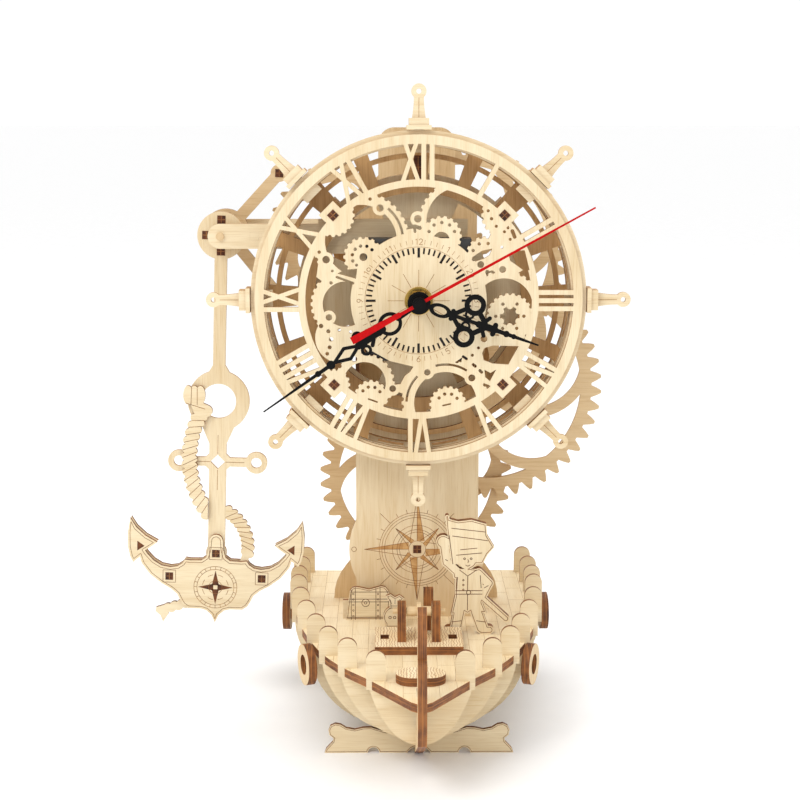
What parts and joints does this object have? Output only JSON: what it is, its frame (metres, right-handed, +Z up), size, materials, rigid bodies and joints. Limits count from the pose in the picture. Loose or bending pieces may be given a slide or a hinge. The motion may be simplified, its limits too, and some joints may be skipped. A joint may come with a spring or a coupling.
{
  "type": "wooden jigsaw clock",
  "caption": "Ship's-wheel clock of cut plywood on a column above a ship's deck, with an anchor pendulum at one side and a gear train behind.",
  "frame": {"origin": "on the floor, at the middle of the keel's flat underside, below the dial's centre line", "axes": "+Z up, +X to the viewer's right when facing the dial, +Y from the dial to the back of the clock; the bow points to -Y"},
  "size_m": [0.3065, 0.27, 0.3905],
  "materials": {
    "cream_ply": "sanded birch ply, pale cream face with fine grain",
    "tan_ply": "birch ply seen in shade or edge-on, warm tan",
    "char_ply": "laser-cut ply edge, charred dark brown",
    "black_plastic": "matt black moulded plastic",
    "black_hand": "gloss black painted metal",
    "red_hand": "gloss red painted metal",
    "brass": "plain brass, lightly worn"
  },
  "bodies": {
    "clock": {"keel": "char_ply", "bow_frames": "cream_ply", "stern_frames": "cream_ply", "deck_lower": "char_ply", "deck_upper": "cream_ply", "foot_front": "cream_ply", "foot_rear": "cream_ply", "port_rings": "char_ply", "windlass_platform": "tan_ply", "windlass_posts": "char_ply", "hatch_lid": "tan_ply", "chest": "cream_ply", "money_bag": "cream_ply", "sailor": "cream_ply", "column_front": "cream_ply", "column_back": "tan_ply", "column_sides": "tan_ply", "column_strut": "char_ply", "dial_face": "cream_ply", "rim_ring_front": "tan_ply", "rim_spacers": "tan_ply", "rim_ring_rear": "tan_ply", "barrel_strips": "tan_ply", "wheel_back": "tan_ply", "wheel_posts": "char_ply", "handles": "cream_ply", "ferrules": "tan_ply", "movement_case": "black_plastic", "movement_bushing": "brass", "hand_nut": "brass", "train_bridge": "tan_ply", "bridge_posts": "char_ply", "pivot_brackets": "cream_ply", "pivot_dowel": "tan_ply"},
    "windlass": {"windlass_drum": "tan_ply"},
    "seconds": {"second_hand": "red_hand", "second_pin": "black_hand"},
    "minutes": {"minute_hand": "black_hand", "minute_pipe": "black_hand"},
    "hours": {"hour_hand": "black_hand", "hour_pipe": "black_hand"},
    "great_train": {"great_wheel": "tan_ply", "great_arbor": "tan_ply", "winding_knob": "cream_ply"},
    "second_train": {"second_wheel": "tan_ply", "second_pinion": "char_ply", "second_arbor": "tan_ply"},
    "third_train": {"third_wheel": "tan_ply", "third_pinion": "char_ply", "third_arbor": "tan_ply"},
    "escape_train": {"escape_wheel": "tan_ply", "escape_pinion": "char_ply", "escape_arbor": "tan_ply"},
    "pendulum": {"anchor_shank": "cream_ply", "pallet_fork": "tan_ply", "fork_bars": "char_ply", "anchor_crown": "cream_ply", "anchor_rope": "cream_ply"}
  },
  "joints": [
    {"name": "windlass_turn", "type": "hinge", "parent": "clock", "child": "windlass", "pos_m": [0, -0.073, 0.084], "axis": [1, 0, 0], "continuous": true},
    {"name": "seconds_turn", "type": "hinge", "parent": "clock", "child": "seconds", "pos_m": [0, -0.055, 0.265], "axis": [0, 1, 0], "continuous": true},
    {"name": "minutes_turn", "type": "hinge", "parent": "clock", "child": "minutes", "pos_m": [0, -0.055, 0.265], "axis": [0, 1, 0], "continuous": true},
    {"name": "hours_turn", "type": "hinge", "parent": "clock", "child": "hours", "pos_m": [0, -0.055, 0.265], "axis": [0, 1, 0], "continuous": true},
    {"name": "third_wheel_turn", "type": "hinge", "parent": "clock", "child": "third_train", "pos_m": [0.029, 0.046, 0.28494], "axis": [0, 1, 0], "continuous": true},
    {"name": "second_wheel_turn", "type": "hinge", "parent": "clock", "child": "second_train", "pos_m": [0.046, 0.038, 0.2], "axis": [0, 1, 0], "continuous": true},
    {"name": "great_wheel_turn", "type": "hinge", "parent": "clock", "child": "great_train", "pos_m": [0, 0.041, 0.14], "axis": [0, 1, 0], "continuous": true},
    {"name": "escape_wheel_turn", "type": "hinge", "parent": "clock", "child": "escape_train", "pos_m": [-0.0486, 0.038, 0.29835], "axis": [0, 1, 0], "continuous": true},
    {"name": "pendulum_swing", "type": "hinge", "parent": "clock", "child": "pendulum", "pos_m": [-0.1192, 0.008, 0.3005], "axis": [0, 1, 0], "range_deg": [-5, 1]}
  ],
  "couplings": [
    {"joint": "minutes_turn", "follows": "seconds_turn", "ratio": 0.016667},
    {"joint": "hours_turn", "follows": "seconds_turn", "ratio": 0.0013889},
    {"joint": "second_wheel_turn", "follows": "third_wheel_turn", "ratio": -0.22222},
    {"joint": "great_wheel_turn", "follows": "third_wheel_turn", "ratio": 0.05848},
    {"joint": "escape_wheel_turn", "follows": "third_wheel_turn", "ratio": -5.25}
  ]
}
